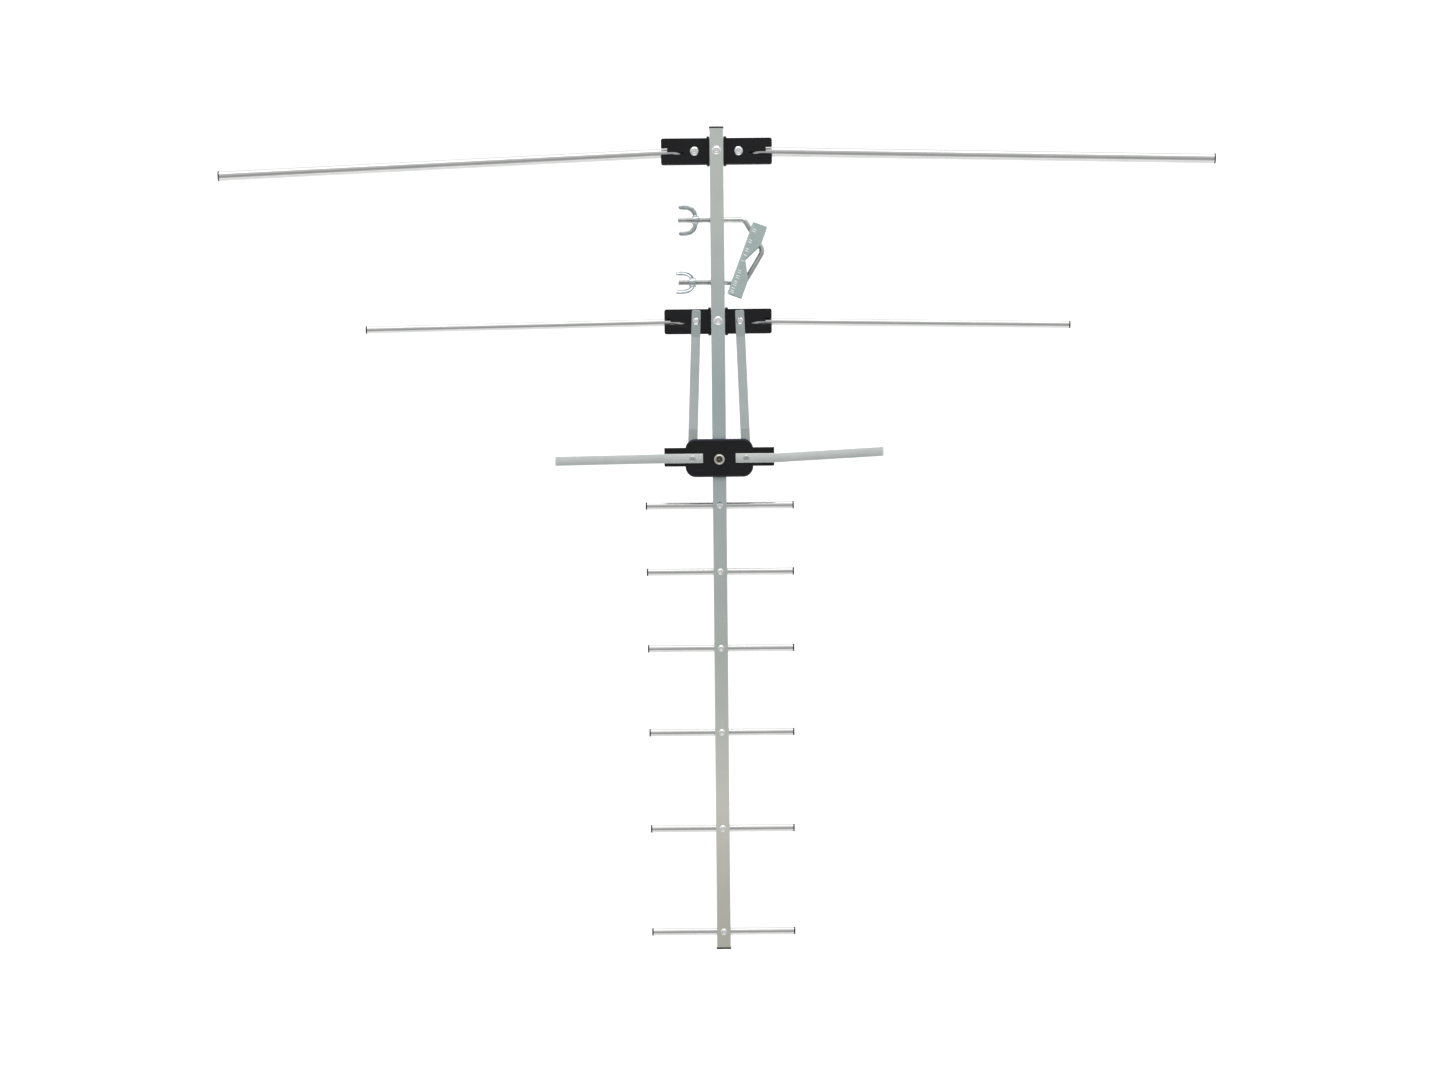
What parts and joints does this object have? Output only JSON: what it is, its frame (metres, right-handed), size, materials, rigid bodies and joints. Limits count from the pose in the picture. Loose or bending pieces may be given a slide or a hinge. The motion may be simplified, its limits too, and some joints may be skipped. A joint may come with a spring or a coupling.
{
  "type": "yagi television antenna",
  "caption": "Flat television aerial: square boom with fold-out reflector and dipole tubes, folded strip dipole on a black connection box, short directors and a V-bolt mast clamp.",
  "frame": {"origin": "on the boom's axis, midway between the two legs of the mast clamp's V-bolt", "axes": "+X along the elements, +Y along the boom towards the reflector, +Z along the mast on the connector's side"},
  "size_m": [1.0802, 0.8873, 0.0604],
  "materials": {
    "boom_alloy": "satin",
    "tube_alloy": "satin",
    "strip_alloy": "satin",
    "black_plastic": "gloss",
    "rivet_steel": "polished",
    "zinc_steel": "zinc plated",
    "galvanised_sheet": "galvanised",
    "nickel": "nickel plated",
    "insulator": "matte",
    "contact_brass": "satin",
    "board": "matte",
    "ferrite": "matte",
    "copper_wire": "enamelled"
  },
  "bodies": {
    "boom": {"balun_board": "board", "balun_core": "ferrite", "balun_windings": "copper_wire", "boom": "boom_alloy", "boom_cap_front": "black_plastic", "boom_cap_rear": "black_plastic", "box_base": "black_plastic", "box_cover": "black_plastic", "box_rivets": "rivet_steel", "connector_contact": "contact_brass", "connector_insulator": "insulator", "connector_nut": "nickel", "connector_shell": "nickel", "dipole_holder": "black_plastic", "dipole_holder_rivet": "rivet_steel", "dipole_pivot_rivets": "rivet_steel", "director_1": "tube_alloy", "director_2": "tube_alloy", "director_3": "tube_alloy", "director_4": "tube_alloy", "director_5": "tube_alloy", "director_6": "tube_alloy", "director_caps": "black_plastic", "director_rivets": "rivet_steel", "folded_dipole": "strip_alloy", "phasing_strip_left": "strip_alloy", "phasing_strip_right": "strip_alloy", "pivot_rear_washers": "zinc_steel", "reflector_holder": "black_plastic", "reflector_holder_rivet": "rivet_steel", "reflector_pivot_rivets": "rivet_steel", "terminal_nuts": "zinc_steel", "terminal_screws": "zinc_steel"},
    "reflector_left": {"reflector_arm_left": "tube_alloy", "reflector_cap_left": "black_plastic"},
    "reflector_right": {"reflector_arm_right": "tube_alloy", "reflector_cap_right": "black_plastic"},
    "dipole_left": {"dipole_arm_left": "tube_alloy", "dipole_cap_left": "black_plastic"},
    "dipole_right": {"dipole_arm_right": "tube_alloy", "dipole_cap_right": "black_plastic"},
    "v_bolt": {"v_bolt": "zinc_steel"},
    "saddle": {"mast_saddle": "galvanised_sheet"},
    "upper_nut": {"wing_nut_upper": "zinc_steel"},
    "lower_nut": {"wing_nut_lower": "zinc_steel"}
  },
  "joints": [
    {"name": "reflector_left_fold", "type": "hinge", "parent": "boom", "child": "reflector_left", "pos_m": [-0.0237, 0.1086, -0.0105], "axis": [0, 0, -1], "range_deg": [0, 92.4]},
    {"name": "reflector_right_fold", "type": "hinge", "parent": "boom", "child": "reflector_right", "pos_m": [0.0237, 0.1086, -0.0105], "axis": [0, 0, 1], "range_deg": [0, 91.4]},
    {"name": "dipole_left_fold", "type": "hinge", "parent": "boom", "child": "dipole_left", "pos_m": [-0.0237, -0.0754, -0.009], "axis": [0, 0, 1], "range_deg": [0, 89.1]},
    {"name": "dipole_right_fold", "type": "hinge", "parent": "boom", "child": "dipole_right", "pos_m": [0.0237, -0.0754, -0.009], "axis": [0, 0, -1], "range_deg": [0, 88.9]},
    {"name": "v_bolt_slide", "type": "slide", "parent": "boom", "child": "v_bolt", "axis": [1, 0, 0], "range_m": [-0.0024, 0.012]},
    {"name": "saddle_tilt", "type": "hinge", "parent": "v_bolt", "child": "saddle", "pos_m": [-0.00126, -0.04094, 0], "axis": [0, 0, 1], "range_deg": [0, 20.35]},
    {"name": "upper_nut_turn", "type": "hinge", "parent": "v_bolt", "child": "upper_nut", "pos_m": [-0.0199, 0.0336, 0], "axis": [1, 0, 0], "continuous": true},
    {"name": "lower_nut_turn", "type": "hinge", "parent": "v_bolt", "child": "lower_nut", "pos_m": [-0.0235, -0.0336, 0], "axis": [1, 0, 0], "continuous": true}
  ]
}
